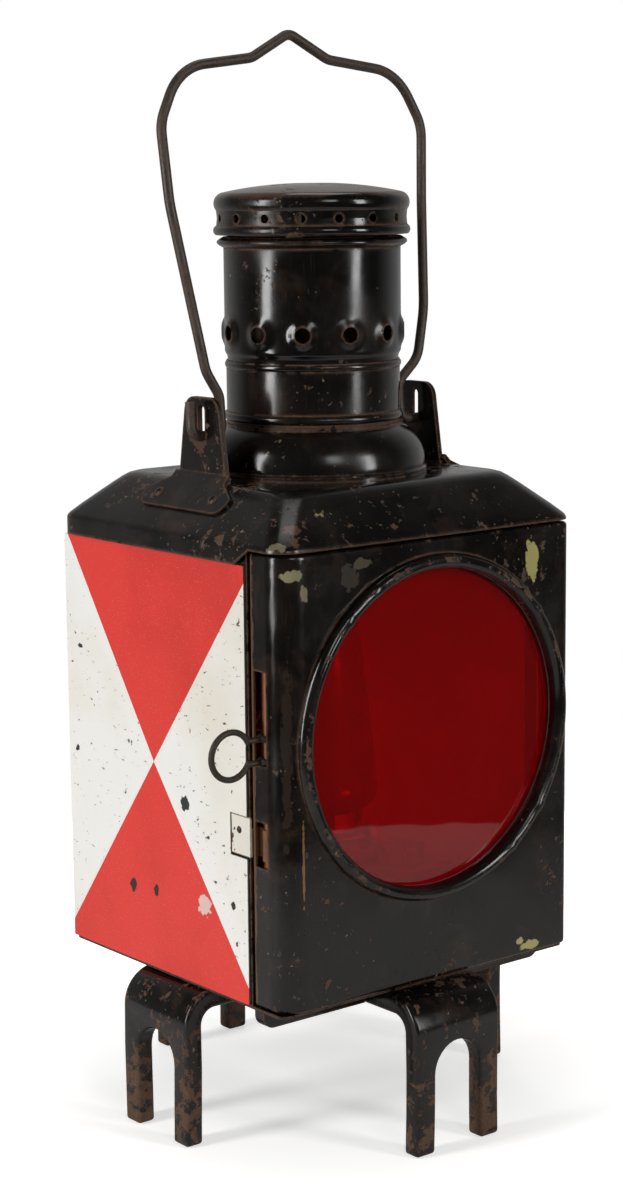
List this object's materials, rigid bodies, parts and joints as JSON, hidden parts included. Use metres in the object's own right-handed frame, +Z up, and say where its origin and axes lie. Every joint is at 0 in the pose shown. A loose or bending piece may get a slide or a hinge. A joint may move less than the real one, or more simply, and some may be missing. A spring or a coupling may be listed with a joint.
{
  "type": "paraffin tail lamp",
  "caption": "Square black sheet-metal paraffin tail lamp with round red lens door, side marker panels, vented chimney, wire bail and forked feet.",
  "frame": {"origin": "centre of the four forks on the plane of their tips, under the chimney axis", "axes": "+Z up along the chimney, -Y towards the lens door, -X towards the latch side"},
  "size_m": [0.2265, 0.218, 0.5423],
  "materials": {
    "black_enamel": "worn gloss stoving enamel",
    "worn_iron": "worn black over brown iron",
    "rusty_steel": "rusty",
    "plate_steel": "enamelled",
    "red_reflective_film": "beaded reflective film",
    "white_reflective_film": "beaded reflective film",
    "ruby_glass": "polished, coloured through",
    "clear_glass": "polished",
    "putty_seal": "matte",
    "tinned_sheet": "dull tin",
    "brass": "aged",
    "cotton_wick": "woven"
  },
  "bodies": {
    "case": {"case_shell": "black_enamel", "floor_pan": "black_enamel", "door_sill": "black_enamel", "roof_hood": "black_enamel", "chimney_bell": "black_enamel", "chimney_lower": "black_enamel", "chimney_upper": "black_enamel", "chimney_cap": "black_enamel", "lug_left": "black_enamel", "lug_right": "black_enamel", "lug_rivets": "black_enamel", "keeper_rivet": "black_enamel", "hinge_rivets_case": "black_enamel", "hinge_leaf_case_lower": "black_enamel", "hinge_leaf_case_upper": "black_enamel", "hinge_pin_lower": "black_enamel", "hinge_pin_upper": "black_enamel", "fork_right": "worn_iron", "fork_back": "worn_iron", "fork_left": "worn_iron", "fork_front": "worn_iron", "fork_rivets": "worn_iron", "keeper_leaf": "rusty_steel", "marker_plate_left": "plate_steel", "marker_plate_right": "plate_steel", "red_film_left": "red_reflective_film", "red_film_right": "red_reflective_film", "white_film_left": "white_reflective_film", "white_film_right": "white_reflective_film", "lamp_glass": "clear_glass", "cap_stays": "tinned_sheet", "inner_flue": "tinned_sheet", "flue_collar": "tinned_sheet", "wind_baffle": "tinned_sheet", "oil_tank": "tinned_sheet", "tank_rails": "tinned_sheet", "burner": "brass", "glass_gallery": "brass"},
    "door": {"door_panel": "black_enamel", "red_lens": "ruby_glass", "lens_gasket": "putty_seal", "lens_retainer": "tinned_sheet", "lens_clips": "tinned_sheet", "bolt_guides": "rusty_steel", "hinge_leaf_door_lower": "black_enamel", "hinge_leaf_door_upper": "black_enamel", "hinge_rivets_door": "black_enamel"},
    "bolt": {"bolt_rod": "rusty_steel", "ring_pull": "worn_iron"},
    "bail": {"bail": "worn_iron"},
    "filler_cap": {"filler_cap": "brass"},
    "wick_spindle": {"wick_spindle": "brass", "wick_knob": "brass"},
    "wick": {"wick": "cotton_wick"}
  },
  "joints": [
    {"name": "door_hinge", "type": "hinge", "parent": "case", "child": "door", "pos_m": [0.095, -0.065, 0.19], "axis": [0, 0, 1], "range_deg": [0, 120]},
    {"name": "bolt_lift", "type": "slide", "parent": "door", "child": "bolt", "axis": [0, 0, 1], "range_m": [0, 0.03]},
    {"name": "bail_swing", "type": "hinge", "parent": "case", "child": "bail", "pos_m": [0, 0, 0.347], "axis": [1, 0, 0], "range_deg": [-93, 103]},
    {"name": "filler_cap_turn", "type": "hinge", "parent": "case", "child": "filler_cap", "pos_m": [0.034, -0.026, 0.127], "axis": [0, 0, 1], "range_deg": [0, 720]},
    {"name": "wick_turn", "type": "hinge", "parent": "case", "child": "wick_spindle", "pos_m": [0, -0.00505, 0.133], "axis": [1, 0, 0], "range_deg": [-95, 95]},
    {"name": "wick_lift", "type": "slide", "parent": "case", "child": "wick", "axis": [0, 0, 1], "range_m": [-0.006, 0.006]}
  ],
  "couplings": [
    {"joint": "wick_lift", "follows": "wick_turn", "m_per_rad": 0.0036}
  ]
}
